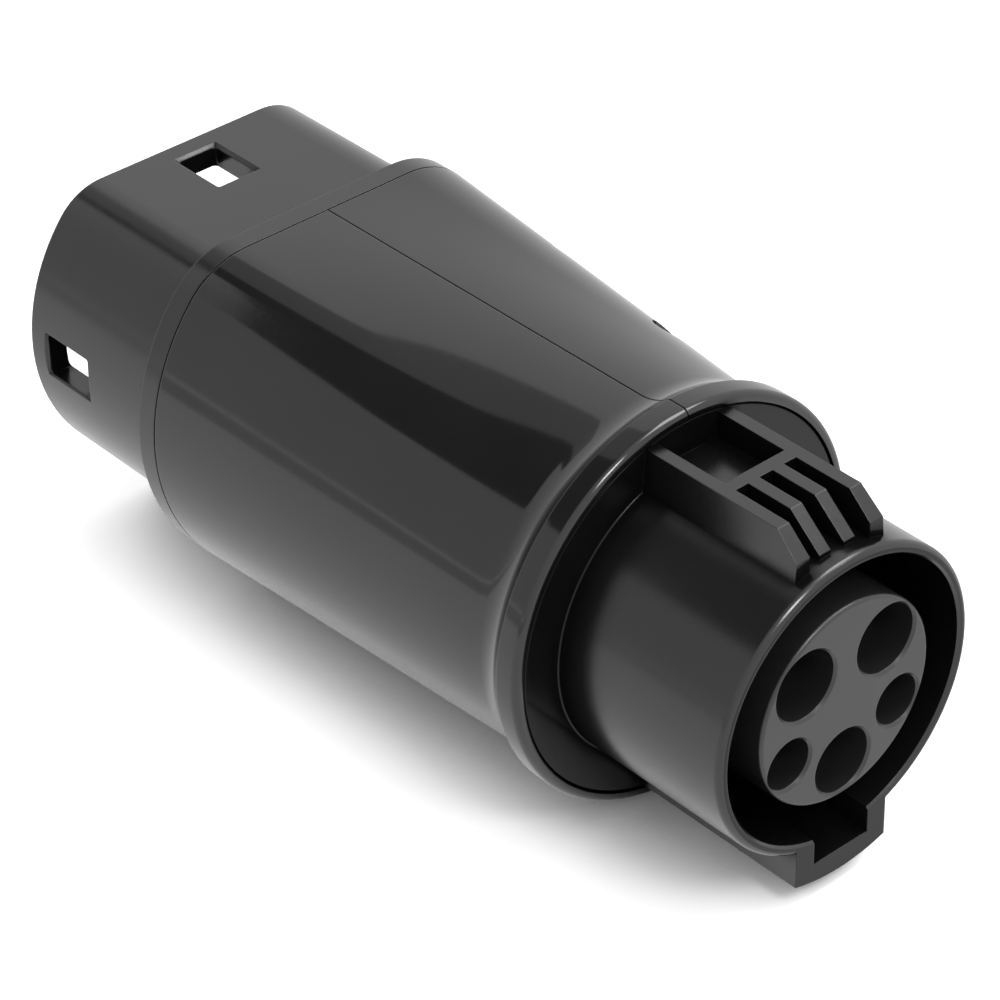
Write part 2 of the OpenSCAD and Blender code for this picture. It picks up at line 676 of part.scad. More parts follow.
// A wire from a socket's barrel to a pin's barrel. It steps sideways in one S bend between two shares
// of its length, and each ring of the tube is square to the wire there.
function ease(t) = t <= 0 ? 0 : t >= 1 ? 1 : t * t * (3 - 2 * t);
function ease_slope(t) = t <= 0 || t >= 1 ? 0 : 6 * t * (1 - t);
module wire(from, to, r, barrel_len, bend_from, bend_to) placed() {
    n = wire_sides;
    steps = 14;
    start = socket_barrel_x + barrel_len;
    length = pin_barrel_x - barrel_len - start;
    step = to - from;
    aside = step / norm(step);
    bend = bend_to - bend_from;
    rings = [for (s = [0:steps], k = [0:n - 1])
        let (t = s / steps, u = (t - bend_from) / bend, centre = from + step * ease(u),
             lean = atan2(norm(step) * ease_slope(u), length * bend), a = 360 * k / n,
             out = r * cos(a) * cos(lean) * aside + r * sin(a) * [-aside[1], aside[0]])
        [start + length * t - r * cos(a) * sin(lean), centre[0] + out[0], centre[1] + out[1]]];
    sides = [for (s = [0:steps - 1], k = [0:n - 1])
        let (a = s * n + k, b = s * n + (k + 1) % n) each [[a, b + n, b], [a, a + n, b + n]]];
    first = [for (k = [0:n - 1]) k];
    last = [for (k = [0:n - 1]) (steps + 1) * n - 1 - k];
    polyhedron(points = rings, faces = concat([first], [last], sides));
}

module power_wire(from, to) wire(from, to, power_wire_r, power_barrel_len, 0.35, 1);
module signal_wire(from, to) wire(from, to, signal_wire_r, signal_barrel_len, 0, 0.8);
module wire_live() color("#7a3b1d") power_wire(live_out, live_in);
module wire_neutral() color("#2c4fa3") power_wire(neutral_out, neutral_in);
module wire_earth() color("#7da32c") power_wire(earth_out, earth_in);
module wire_pilot() color("#d8d8d8") signal_wire(pilot_out, pilot_in);
module wire_proximity() color("#b03030") signal_wire(proximity_out, proximity_in);

// Coding resistor on the socket retainer, between the proximity and the earth barrels
module coding_resistor() color("#c8b48a") placed() {
    x = socket_block_front + retainer_t;
    r = 1.2;
    lead_r = 0.3;
    from = [proximity_out[0] - signal_barrel_r * 0.72, proximity_out[1] - signal_barrel_r * 0.72];
    to = [earth_out[0] + power_barrel_r * 0.6, earth_out[1] + power_barrel_r * 0.83];
    span = norm(from - to);
    slant = atan2(from[1] - to[1], from[0] - to[0]);
    translate([x + r, to[0], to[1]]) rotate([slant - 90, 0, 0]) {
        cylinder(r = lead_r, h = span);
        translate([0, 0, span / 2 - 2.4]) cylinder(r = r, h = 4.8);
    }
}

// A pan-head screw along the axis; its head looks towards +X
module screw(seat, length, at, way = 1) {
    rod(way > 0 ? seat : seat - head_t, way > 0 ? seat + head_t : seat, head_r - 0.2, at);
    rod(way > 0 ? seat - length : seat - 0.01, way > 0 ? seat + 0.01 : seat + length, pilot_r - 0.02, at);
}

module carrier_screws() color("#a8abb0") placed()
    for (a = flange_screw_angles) screw(block_flange_back, carrier_screw_len, polar(flange_screw_r, a), -1);

module flange_screws() color("#a8abb0") placed()
    for (a = plug_screw_angles) screw(socket_flange_front, flange_screw_len, polar(plug_screw_r, a, [0, d_rise]));

module retainer_screws() color("#a8abb0") placed() {
    for (at = retainer_screw_places) screw(socket_block_front + retainer_t, socket_retainer_screw_len, at);
    screw(pin_block_back - retainer_t, pin_retainer_screw_len, [0, 0], -1);
}

module body_screws() color("#a8abb0") placed()
    for (x = body_screw_x, up = [-1, 1]) translate([x, 0, up * body_screw_z]) rotate([-90, 0, 0]) difference() {
        union() {
            translate([0, 0, body_screw_seat]) cylinder(r = head_r, h = head_t);
            translate([0, 0, body_screw_seat - body_screw_len]) cylinder(r = pilot_r - 0.02, h = body_screw_len + 0.01);
        }
        for (turn = [0, 90]) rotate([0, 0, turn])
            translate([-slot_len / 2, -slot_w / 2, body_screw_seat + head_t - slot_depth])
                cube([slot_len, slot_w, 2 * slot_depth]);
    }

inlet_shell();
pin_carrier();
pin_block();
inlet_seal();
pin_live();
pin_neutral();
pin_earth();
pin_pilot();
pin_proximity();
pin_retainer();
plug_shell();
socket_carrier();
plug_seal();
socket_live();
socket_neutral();
socket_earth();
socket_pilot();
socket_proximity();
socket_retainer();
body_shell_left();
body_shell_right();
wire_live();
wire_neutral();
wire_earth();
wire_pilot();
wire_proximity();
coding_resistor();
carrier_screws();
flange_screws();
retainer_screws();
body_screws();
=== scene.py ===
# %% [markdown]
# # A charging adapter in black moulded plastic
# The object joins a round charging connector to a car whose socket takes a D-shaped plug. Nearly every
# visible surface is black injection-moulded plastic, so its shape is read from reflections alone. The CAD
# model has already been packed as a frame of named nodes in metres. This lesson loads it, gives every
# moulding its own finish, rebuilds the two body shells as smooth meshes, and lights them as in a light tent.

import json
import math

import bmesh
import bpy
from mathutils import Matrix, Vector


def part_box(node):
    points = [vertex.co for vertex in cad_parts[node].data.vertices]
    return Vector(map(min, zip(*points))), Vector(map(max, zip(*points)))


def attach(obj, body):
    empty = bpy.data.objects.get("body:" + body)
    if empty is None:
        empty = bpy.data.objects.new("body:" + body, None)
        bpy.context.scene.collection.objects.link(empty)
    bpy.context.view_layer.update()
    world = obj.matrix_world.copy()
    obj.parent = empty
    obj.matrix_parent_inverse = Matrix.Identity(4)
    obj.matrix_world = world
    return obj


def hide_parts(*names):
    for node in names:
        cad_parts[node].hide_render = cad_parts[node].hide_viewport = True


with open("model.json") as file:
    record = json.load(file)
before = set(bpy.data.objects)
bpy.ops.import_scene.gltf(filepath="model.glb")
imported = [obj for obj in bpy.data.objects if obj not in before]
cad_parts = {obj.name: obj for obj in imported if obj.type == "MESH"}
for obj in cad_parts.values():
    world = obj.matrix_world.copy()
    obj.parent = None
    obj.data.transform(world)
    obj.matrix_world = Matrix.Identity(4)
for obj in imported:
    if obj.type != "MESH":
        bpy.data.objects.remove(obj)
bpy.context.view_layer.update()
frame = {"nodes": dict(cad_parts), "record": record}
MM = 0.001

# %% [markdown]
# ## The camera
# A product photograph's perspective tells how far away the camera stood. Matching edges of the round
# inlet, the collar and the lock windows gives one camera that fits them all: a long lens about half a
# metre away, looking down at a third of a right angle. Its matrix is built from those angles, because a
# tracking constraint would lose the slight roll.

# %% Place the camera
CAMERA_AT = Vector((361.15, -312.0, 365.9)) * MM
CAMERA_TURN = math.radians(48.59)      # from straight in front of the long side towards the round end
CAMERA_LIFT = math.radians(34.86)
CAMERA_ROLL = math.radians(-0.85)
LENS_MM = 142.6
SENSOR_MM = 36.0
FRAME_SHIFT = (-0.0272, -0.0288)


def camera_axes():
    back = Vector((math.sin(CAMERA_TURN) * math.cos(CAMERA_LIFT),
                   -math.cos(CAMERA_TURN) * math.cos(CAMERA_LIFT), math.sin(CAMERA_LIFT)))
    right = Vector((math.cos(CAMERA_TURN), math.sin(CAMERA_TURN), 0.0))
    up = back.cross(right)
    c, s = math.cos(CAMERA_ROLL), math.sin(CAMERA_ROLL)
    return right * c + up * s, up * c - right * s, back


def place_camera():
    data = bpy.data.cameras.new("photo_camera")
    data.lens, data.sensor_width = LENS_MM, SENSOR_MM
    data.shift_x, data.shift_y = FRAME_SHIFT
    data.clip_start, data.clip_end = 0.01, 20.0
    camera = bpy.data.objects.new("photo_camera", data)
    bpy.context.collection.objects.link(camera)
    columns = Matrix([axis.to_4d() for axis in camera_axes()] + [Vector((0, 0, 0, 1))]).transposed()
    for row in range(3):
        columns[row][3] = CAMERA_AT[row]
    columns[3] = (0, 0, 0, 1)
    camera.matrix_world = columns
    bpy.context.scene.camera = camera
    return camera


camera = place_camera()
print("camera:", [round(v, 3) for v in camera.matrix_world.translation], "m")

# %% [markdown]
# ## Sizes shared with the CAD
# The two body shells are lofted from the D-shaped section at the collar to the round neck, and then flare
# out to the rim. The numbers below are the same driving sizes as the CAD's. The collar's and the rim's
# places come from the frame's own boxes, so the smooth shells cannot drift away from the solids.

# %% Read where the shells begin and end
shell_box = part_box("body_shell_left")
COLLAR_X = shell_box[0][0]
RIM_FRONT_X = shell_box[1][0]
RIM_R = (shell_box[1][2] - shell_box[0][2]) / 2
AXIS_Z = (shell_box[1][2] + shell_box[0][2]) / 2
BODY_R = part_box("body_shell_right")[1][1]
FLAT_UP = 27.25 * MM
CORNER_R = 14.1 * MM
D_RISE = 2.75 * MM
NECK_R = 30.1 * MM
FLARE_LEN = 5.8 * MM
RIM_LEN = 3.9 * MM
RIM_ROUND = 1.1 * MM
SHELL_WALL = 2.6 * MM
SEAM_GAP = 0.2 * MM
MOUTH_LIP = 0.5 * MM
MOUTH_PLAY = 0.06 * MM
MOUTH_R = RIM_R - RIM_ROUND - MOUTH_LIP + MOUTH_PLAY
LEDGE_DEPTH = 3.3 * MM
NECK_X = RIM_FRONT_X - RIM_LEN - FLARE_LEN
FLAT_HALF = math.sqrt((BODY_R - CORNER_R) ** 2 - (FLAT_UP - CORNER_R) ** 2)
print("shells run", round((RIM_FRONT_X - COLLAR_X) / MM, 1), "mm, body radius", round(BODY_R / MM, 2))


# %% [markdown]
# ## The body's outline
# Seen from the end, the body is a circle with its top cut flat and the two corners rounded. A circle that
# touches another from inside does so on the line through both centres, and that gives the angles where
# the outline changes from round to corner to flat. One function returns the reach in any direction, so
# that both ends of the loft have the same number of points and no twist.

# %% Work out the D-shaped section's reach
def d_reach(angle, inset):
    radius, top, corner = BODY_R - inset, FLAT_UP - inset, CORNER_R - inset
    side, rise = abs(math.cos(angle)), math.sin(angle)
    elevation = math.atan2(rise, side)
    if elevation <= math.atan2(top - corner, FLAT_HALF):
        return radius
    if elevation <= math.atan2(top, FLAT_HALF):
        along = FLAT_HALF * side + (top - corner) * rise
        return along + math.sqrt(along * along - FLAT_HALF ** 2 - (top - corner) ** 2 + corner ** 2)
    return top / rise


def body_point(share, angle, inset):
    """A point of the tapered body: share 0 is at the collar and 1 at the neck."""
    reach = (1 - share) * d_reach(angle, inset) + share * (NECK_R - inset)
    return (COLLAR_X + share * (NECK_X - COLLAR_X), reach * math.cos(angle),
            AXIS_Z + (1 - share) * D_RISE + reach * math.sin(angle))


print("reach up, aside, down (mm):", [round(d_reach(math.radians(a), 0) / MM, 2) for a in (90, 0, -90)])


# %% [markdown]
# ## The rim
# Towards the round inlet the shells sweep out in a hollow curve, which meets a narrow level land in a
# crease. The land's front edge is rounded, and a shallow recess inside it takes the flange disc. On the
# real adapter this is the place with the sharpest highlights, so its profile gets many points: a parabola
# for the flare and a quarter circle for the edge.

# %% List the rim's profile as pairs of place and radius
FLARE_STEPS = 14
ROUND_STEPS = 6


def rim_profile():
    points = []
    for k in range(1, FLARE_STEPS + 1):
        t = k / FLARE_STEPS
        points.append((NECK_X + FLARE_LEN * t, NECK_R + (RIM_R - NECK_R) * t * t))
    for k in range(0, ROUND_STEPS + 1):
        a = math.radians(90 * k / ROUND_STEPS)
        points.append((RIM_FRONT_X - RIM_ROUND + RIM_ROUND * math.sin(a),
                       RIM_R - RIM_ROUND + RIM_ROUND * math.cos(a)))
    return points


def recess_profile():
    bore = NECK_R - SHELL_WALL
    return [(RIM_FRONT_X, MOUTH_R), (RIM_FRONT_X - LEDGE_DEPTH, MOUTH_R), (RIM_FRONT_X - LEDGE_DEPTH, bore)]


widest = max(r for _, r in rim_profile())
print("rim profile:", len(rim_profile()), "points, widest", round(widest / MM, 2), "mm")

# %% [markdown]
# ## One shell
# Each half shell is a closed skin: an outer wall, an inner wall and the flat faces where the halves meet.
# It could be cut from a full tube, but a cut leaves slivers along the seam. Here each ring of points
# simply starts and ends at the seam, shifted by half of the gap, so the seam is clean. The rings run
# outside from the collar to the rim, turn round the rim's edge and come back inside.

# %% Make the half shells
AROUND = 160
ALONG = 40


def ring_angles(side):
    """Angles from the underside round to the top, on one side of the seam."""
    return [math.radians(-90 + 180 * k / AROUND) if side > 0 else math.radians(270 - 180 * k / AROUND)
            for k in range(AROUND + 1)]


def at_seam(point, side):
    x, y, z = point
    return (x, side * max(abs(y), SEAM_GAP / 2), z)


def shell_rings(side):
    angles = ring_angles(side)
    rings = [[body_point(k / ALONG, a, 0) for a in angles] for k in range(ALONG + 1)]
    for x, r in rim_profile() + recess_profile():
        rings.append([(x, r * math.cos(a), AXIS_Z + r * math.sin(a)) for a in angles])
    inner = [[body_point(1 - k / ALONG, a, SHELL_WALL) for a in angles] for k in range(ALONG + 1)]
    return [[at_seam(p, side) for p in ring] for ring in rings + inner]


def make_half_shell(name, side):
    rings = shell_rings(side)
    mesh = bmesh.new()
    rows = [[mesh.verts.new(p) for p in ring] for ring in rings]
    for first, second in zip(rows, rows[1:] + rows[:1]):
        for k in range(AROUND):
            mesh.faces.new((first[k], first[k + 1], second[k + 1], second[k]))
    for edge in (0, AROUND):
        fill_seam(mesh, [row[edge] for row in rows])
    bmesh.ops.recalc_face_normals(mesh, faces=mesh.faces)
    data = bpy.data.meshes.new(name)
    mesh.to_mesh(data)
    mesh.free()
    piece = bpy.data.objects.new(name, data)
    bpy.context.collection.objects.link(piece)
    return piece


def fill_seam(mesh, loop):
    """Closes the flat strip between the outer and the inner wall where the halves meet."""
    body_outside = loop[:ALONG + 1]
    body_inside = list(reversed(loop[-(ALONG + 1):]))
    for k in range(ALONG):
        mesh.faces.new((body_outside[k], body_outside[k + 1], body_inside[k + 1], body_inside[k]))
    mesh.faces.new([body_outside[-1]] + loop[ALONG + 1:-(ALONG + 1)] + [body_inside[-1]])


shell_left = make_half_shell("smooth_shell_left", -1)
shell_right = make_half_shell("smooth_shell_right", 1)
print("half shell:", len(shell_left.data.polygons), "faces")

# %% [markdown]
# ## Screw pockets in the far shell
# The shells are held together by four screws that go in from the far side, each at the bottom of a round
# pocket. The pockets are cut with a boolean, and the pillars that carry them are tubes inside. The solid
# model already has the screws and their heads, so only the pockets' walls are needed here.

# %% Cut the pockets and add the pillars
screws_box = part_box("body_screws")
HEAD_R = 2.8 * MM
SCREW_XS = (screws_box[0][0] + HEAD_R, screws_box[1][0] - HEAD_R)
SCREW_ZS = (screws_box[0][2] + HEAD_R, screws_box[1][2] - HEAD_R)
POCKET_R = 3.1 * MM
PILLAR_R = 4.3 * MM
SEAT_Y = 10.0 * MM
CLEAR_R = 1.7 * MM
TOOL_SIDES = 48


def rod_along_y(name, x, z, radius, y_from, y_to):
    mesh = bmesh.new()
    bmesh.ops.create_cone(mesh, cap_ends=True, segments=TOOL_SIDES, radius1=radius, radius2=radius,
                          depth=y_to - y_from)
    bmesh.ops.rotate(mesh, verts=mesh.verts, matrix=Matrix.Rotation(math.radians(90), 3, "X"))
    bmesh.ops.translate(mesh, verts=mesh.verts, vec=(x, (y_from + y_to) / 2, z))
    data = bpy.data.meshes.new(name)
    mesh.to_mesh(data)
    mesh.free()
    tool = bpy.data.objects.new(name, data)
    bpy.context.collection.objects.link(tool)
    return tool


def combine(piece, tool, operation):
    modifier = piece.modifiers.new("shape", "BOOLEAN")
    modifier.operation, modifier.object, modifier.solver = operation, tool, "EXACT"
    with bpy.context.temp_override(object=piece, active_object=piece, selected_objects=[piece]):
        bpy.ops.object.modifier_apply(modifier=modifier.name)
    bpy.data.objects.remove(tool, do_unlink=True)


def wall_y(x, z, inset):
    """How far the shell reaches sideways at a place along the body and a height."""
    share = (x - COLLAR_X) / (NECK_X - COLLAR_X)
    best = min((body_point(share, math.radians(a / 4), inset) for a in range(-356, 357)),
               key=lambda p: abs(p[2] - z))
    return abs(best[1])


def add_pockets(shell):
    for x in SCREW_XS:
        for z in SCREW_ZS:
            away = PILLAR_R if z > AXIS_Z else -PILLAR_R
            reach = wall_y(x, z + away, SHELL_WALL * 0.5)
            combine(shell, rod_along_y("pillar", x, z, PILLAR_R, SEAM_GAP / 2, reach), "UNION")
            combine(shell, rod_along_y("pocket", x, z, POCKET_R, SEAT_Y, BODY_R), "DIFFERENCE")
            combine(shell, rod_along_y("hole", x, z, CLEAR_R, 0.0, BODY_R), "DIFFERENCE")


add_pockets(shell_right)
print("far shell with pockets:", len(shell_right.data.polygons), "faces")

# %% [markdown]
# ## Smooth where moulded round, crisp where edged
# A reflection shows every facet, so curved faces need smooth shading, while the seam and the recess need
# crisp edges. Marking edges as sharp by their angle gives both on one mesh.

# %% Shade the shells and put them in place of the CAD's
SHARP_ANGLE = math.radians(32)


def finish_shell(piece, node):
    piece.data.polygons.foreach_set("use_smooth", [True] * len(piece.data.polygons))
    piece.data.set_sharp_from_angle(angle=SHARP_ANGLE)
    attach(piece, "root")
    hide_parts(node)


finish_shell(shell_left, "body_shell_left")
finish_shell(shell_right, "body_shell_right")
print("near shell starts at (mm):", [round(v / MM, 2) for v in shell_left.bound_box[0]])


# %% [markdown]
# ## Black moulded plastic
# Black plastic has almost no colour of its own: what one sees is the clear skin's reflection. Three
# things keep it from looking like paint or glass. The tool's surface leaves a very fine grain, handling
# leaves patches that are a little duller, and every moulded edge is slightly rounded. The grain is a
# small bump, the patches vary the roughness, and a Bevel node rounds the normals at the edges, which a
# mesh bevel would have to do on dozens of crossing edges. A few short helpers keep the node trees readable.

# %% Set up short helpers for node trees
def new_material(name):
    material = bpy.data.materials.new(name)
    material.use_nodes = True
    tree = material.node_tree
    return material, tree, tree.nodes["Principled BSDF"]


def node(tree, kind, **values):
    made = tree.nodes.new(kind)
    for key, value in values.items():
        if key in made.inputs:
            made.inputs[key].default_value = value
        else:
            setattr(made, key, value)
    return made


def noise(tree, place, scale, detail=2.0, rough=0.5):
    made = node(tree, "ShaderNodeTexNoise", Scale=scale, Detail=detail, Roughness=rough)
    tree.links.new(place, made.inputs["Vector"])
    return made.outputs["Fac"]


def ranged(tree, value, low, high, from_low=0.3, from_high=0.7):
    made = node(tree, "ShaderNodeMapRange")
    made.inputs["From Min"].default_value, made.inputs["From Max"].default_value = from_low, from_high
    made.inputs["To Min"].default_value, made.inputs["To Max"].default_value = low, high
    tree.links.new(value, made.inputs["Value"])
    return made.outputs["Result"]


def blended(tree, share, first, second):
    made = node(tree, "ShaderNodeMix", data_type="RGBA")
    for socket, colour in ((made.inputs[6], first), (made.inputs[7], second)):
        if isinstance(colour, bpy.types.NodeSocket):
            tree.links.new(colour, socket)
        else:
            socket.default_value = (*colour, 1.0)
    tree.links.new(share, made.inputs[0])
    return made.outputs[2]


def bumped(tree, height, strength, depth, normal=None):
    made = node(tree, "ShaderNodeBump", Strength=strength, Distance=depth)
    tree.links.new(height, made.inputs["Height"])
    if normal is not None:
        tree.links.new(normal, made.inputs["Normal"])
    return made.outputs["Normal"]


def reckoned(tree, first, second, operation="MULTIPLY"):
    made = node(tree, "ShaderNodeMath", operation=operation)
    for socket, value in zip(made.inputs, (first, second)):
        if isinstance(value, bpy.types.NodeSocket):
            tree.links.new(value, socket)
        else:
            socket.default_value = value
    return made.outputs[0]


# %% [markdown]
# The Bevel node also tells where the edges are: its rounded normal differs from the true one only near
# an edge. One minus their dot product is a mask for wear and for a painted highlight along the edges, and a
# noise breaks it up so that both look rubbed and not drawn.

# %% Find the edges of a moulding
def edge_mask(tree, rounded, place, reach):
    geometry = node(tree, "ShaderNodeNewGeometry")
    dot = node(tree, "ShaderNodeVectorMath", operation="DOT_PRODUCT")
    tree.links.new(rounded, dot.inputs[0])
    tree.links.new(geometry.outputs["Normal"], dot.inputs[1])
    turned = ranged(tree, dot.outputs["Value"], 1.0, 0.0, 1.0 - reach, 1.0)
    rubbed = ranged(tree, noise(tree, place, 900.0, 3.0, 0.7), 0.0, 1.0, 0.42, 0.68)
    return reckoned(tree, turned, rubbed)


# %% [markdown]
# The gloss differs over one moulding. Faces that look out along the length are smoother, but on the round
# end a painted shade makes them mirror less, as the photograph's nearly black disc shows. Corners and
# recesses
# get a painted shade too: two occlusion nodes, one wide and one narrow, fade the shine there. Mirror rays see
# only a share of the shine, a painted shade that keeps a mirror image in a mirror image dark.

# %% Build one moulded plastic with its own grain and gloss
# How far the painted shade in recesses and corners reaches, and the share of shine that mirror rays see.
RECESS_SHADE_REACH = 12 * MM
CORNER_SHADE_REACH = 2.5 * MM
MIRROR_IMAGE_PAINTED_SHADE = 0.1
PLASTIC_IOR = 1.5


def moulded_plastic(name, colour, gloss, grain, edge_mm=0.3, patch=0.05, wear_and_edge_highlight=0.35, painted_shade_end_face=1.0):
    material, tree, skin = new_material(name)
    place = node(tree, "ShaderNodeTexCoord").outputs["Object"]
    rounded = node(tree, "ShaderNodeBevel", samples=6, Radius=edge_mm * MM).outputs["Normal"]
    worn_and_highlit_edges = reckoned(tree, edge_mask(tree, rounded, place, 0.25), wear_and_edge_highlight)
    depth = blended(tree, ranged(tree, noise(tree, place, 70.0, 3.0), 0.0, 1.0),
                    tuple(0.82 * c for c in colour), tuple(1.2 * c for c in colour))
    # Edges turn lighter: partly wear, partly a painted edge highlight, strongest where the share is 1.
    tree.links.new(blended(tree, worn_and_highlit_edges, depth, tuple(min(1.0, 2.0 * c + 0.012) for c in colour)),
                   skin.inputs["Base Color"])
    smudges = ranged(tree, noise(tree, place, 38.0, 4.0, 0.6), gloss - patch, gloss + patch)
    fine = ranged(tree, noise(tree, place, 1400.0, 2.0), -0.02, 0.02)
    duller = reckoned(tree, reckoned(tree, smudges, fine, "ADD"), reckoned(tree, worn_and_highlit_edges, 0.25), "ADD")
    heading = node(tree, "ShaderNodeSeparateXYZ")
    tree.links.new(node(tree, "ShaderNodeNewGeometry").outputs["Normal"], heading.inputs[0])
    duller = reckoned(tree, duller, ranged(tree, heading.outputs["X"], 1.0, 0.5, 0.93, 0.99))
    tree.links.new(duller, skin.inputs["Roughness"])
    waves = bumped(tree, noise(tree, place, 55.0, 1.0), 0.05, 0.3 * MM, rounded)
    tree.links.new(bumped(tree, noise(tree, place, 3200.0, 2.0, 0.6), grain, 0.02 * MM, waves),
                   skin.inputs["Normal"])
    # Painted shade: occlusion fades the shine in recesses and corners.
    recess_painted_shade = node(tree, "ShaderNodeAmbientOcclusion", samples=4, Distance=RECESS_SHADE_REACH).outputs["AO"]
    corner = node(tree, "ShaderNodeAmbientOcclusion", samples=4, Distance=CORNER_SHADE_REACH).outputs["AO"]
    shine_with_painted_shade = reckoned(tree, ranged(tree, recess_painted_shade, 0.1, 0.8, 0.1, 0.5),
                     ranged(tree, corner, 0.05, 1.0, 0.7, 0.95))
    # Painted shade: faces looking along the length keep only this share of their shine.
    shine_with_painted_shade = reckoned(tree, shine_with_painted_shade, ranged(tree, heading.outputs["X"], 1.0, painted_shade_end_face, 0.93, 0.99))
    # Painted shade: mirror rays see only a share of the shine, so mirror images of it stay dark.
    mirrored = node(tree, "ShaderNodeLightPath").outputs["Is Glossy Ray"]
    tree.links.new(reckoned(tree, shine_with_painted_shade, ranged(tree, mirrored, 1.0, MIRROR_IMAGE_PAINTED_SHADE, 0.0, 1.0)),
                   skin.inputs["Specular IOR Level"])
    skin.inputs["IOR"].default_value = PLASTIC_IOR
    return material


PLASTICS = {
    "body_black": moulded_plastic("shell_black_plastic", (0.0045, 0.0045, 0.0048),
                                  gloss=0.10, grain=0.02, edge_mm=0.25, patch=0.02),
    # The inlet's end faces get the strongest painted shade.
    "inlet_black": moulded_plastic("inlet_black_plastic", (0.0040, 0.0040, 0.0043),
                                   gloss=0.22, grain=0.02, edge_mm=0.18, patch=0.03, painted_shade_end_face=0.4),
    "boss_black": moulded_plastic("boss_black_plastic", (0.013, 0.013, 0.014),
                                  gloss=0.34, grain=0.10, edge_mm=0.15),
    # The plug's edges get the strongest painted edge highlight.
    "plug_black": moulded_plastic("plug_black_plastic", (0.0050, 0.0050, 0.0053),
                                  gloss=0.20, grain=0.03, edge_mm=0.35, patch=0.03, wear_and_edge_highlight=1.0),
    "tower_black": moulded_plastic("tower_black_plastic", (0.022, 0.022, 0.023),
                                   gloss=0.42, grain=0.20, edge_mm=0.25),
    "retainer_cream": moulded_plastic("retainer_cream_plastic", (0.62, 0.57, 0.47),
                                      gloss=0.45, grain=0.20, edge_mm=0.25),
    "resistor_tan": moulded_plastic("resistor_tan_lacquer", (0.42, 0.32, 0.18),
                                    gloss=0.30, grain=0.10, edge_mm=0.15),
}
print("plastics:", ", ".join(PLASTICS))


# %% [markdown]
# ## Silicone, insulation and metal
# The seals are soft silicone with a dull bloom, and the wires' insulation is a smooth plastic with faint
# draw marks. The contacts are turned brass with silver plating: fine rings run round each of them, so
# their roughness varies along the axis. The screws are zinc-plated steel, cooler and more uneven.

# %% Make the soft and the metal finishes
def silicone(name, colour):
    material, tree, skin = new_material(name)
    place = node(tree, "ShaderNodeTexCoord").outputs["Object"]
    bloom = ranged(tree, noise(tree, place, 160.0, 4.0), 0.0, 1.0)
    tree.links.new(blended(tree, bloom, colour, tuple(1.7 * c for c in colour)), skin.inputs["Base Color"])
    tree.links.new(ranged(tree, bloom, 0.5, 0.72, 0.0, 1.0), skin.inputs["Roughness"])
    tree.links.new(bumped(tree, noise(tree, place, 2200.0), 0.2, 0.02 * MM), skin.inputs["Normal"])
    return material


def insulation(name, colour):
    material, tree, skin = new_material(name)
    place = node(tree, "ShaderNodeTexCoord").outputs["Object"]
    tint = ranged(tree, noise(tree, place, 120.0, 2.0), 0.0, 1.0)
    tree.links.new(blended(tree, tint, tuple(0.85 * c for c in colour),
                           tuple(min(1, 1.15 * c) for c in colour)), skin.inputs["Base Color"])
    tree.links.new(ranged(tree, noise(tree, place, 300.0), 0.3, 0.45), skin.inputs["Roughness"])
    tree.links.new(bumped(tree, noise(tree, place, 900.0), 0.15, 0.03 * MM), skin.inputs["Normal"])
    return material


def turned_metal(name, colour, gloss, rings):
    material, tree, skin = new_material(name)
    place = node(tree, "ShaderNodeTexCoord").outputs["Object"]
    lathe = node(tree, "ShaderNodeTexWave", wave_type="BANDS", bands_direction="X", Scale=rings)
    lathe.inputs["Distortion"].default_value = 1.5
    tree.links.new(place, lathe.inputs["Vector"])
    tarnish = ranged(tree, noise(tree, place, 220.0, 4.0, 0.65), 0.0, 1.0)
    tree.links.new(blended(tree, tarnish, tuple(0.75 * c for c in colour), colour), skin.inputs["Base Color"])
    tree.links.new(ranged(tree, tarnish, gloss + 0.1, gloss, 0.0, 1.0), skin.inputs["Roughness"])
    tree.links.new(bumped(tree, lathe.outputs["Fac"], 0.12, 0.01 * MM), skin.inputs["Normal"])
    skin.inputs["Metallic"].default_value = 1.0
    return material


OTHERS = {
    "seal_grey": silicone("seal_grey_silicone", (0.06, 0.063, 0.068)),
    "plated_contact": turned_metal("plated_contact_metal", (0.78, 0.77, 0.74), 0.18, 1500.0),
    "screw_steel": turned_metal("screw_zinc_steel", (0.50, 0.51, 0.53), 0.32, 900.0),
    "wire_brown": insulation("wire_brown_insulation", (0.16, 0.06, 0.025)),
    "wire_blue": insulation("wire_blue_insulation", (0.03, 0.10, 0.38)),
    "wire_green": insulation("wire_green_insulation", (0.20, 0.33, 0.05)),
    "wire_white": insulation("wire_white_insulation", (0.70, 0.70, 0.69)),
    "wire_red": insulation("wire_red_insulation", (0.42, 0.04, 0.03)),
}
print("other finishes:", ", ".join(OTHERS))

# %% [markdown]
# ## Every node gets its finish
# The record says which material slot each node takes. One table serves the CAD's nodes and the rebuilt
# shells, so a piece and its stand-in can never differ.

# %% Assign the finishes
FINISHES = {**PLASTICS, **OTHERS}
slot_of = {part["node"]: part["material_slot"] for part in frame["record"]["subparts"]}
for name, piece in frame["nodes"].items():
    for slot in piece.material_slots:
        slot.material = FINISHES[slot_of[name]]
for piece in (shell_left, shell_right):
    piece.data.materials.append(FINISHES["body_black"])
print("finished:", len(slot_of), "nodes and 2 shells")

# %% [markdown]
# ## A light tent
# The photograph was taken in white surroundings, and black plastic is drawn by what it mirrors. Working
# back from its tones, the wall behind the object is the brightest, the wall on the near left is a little
# darker, and the pale floor lights the undersides. The world's brightness varies with direction only, so
# it is the same from every side.

# %% Light the tent
# Each pair is a direction in degrees, counted from the round end, and the wall's brightness there.
TENT_LEVELS = ((-180, 0.85), (-150, 0.74), (-140, 0.66), (-115, 0.66), (-70, 0.85), (0, 0.95), (90, 1.10),
               (140, 0.97), (160, 0.92), (180, 0.85))


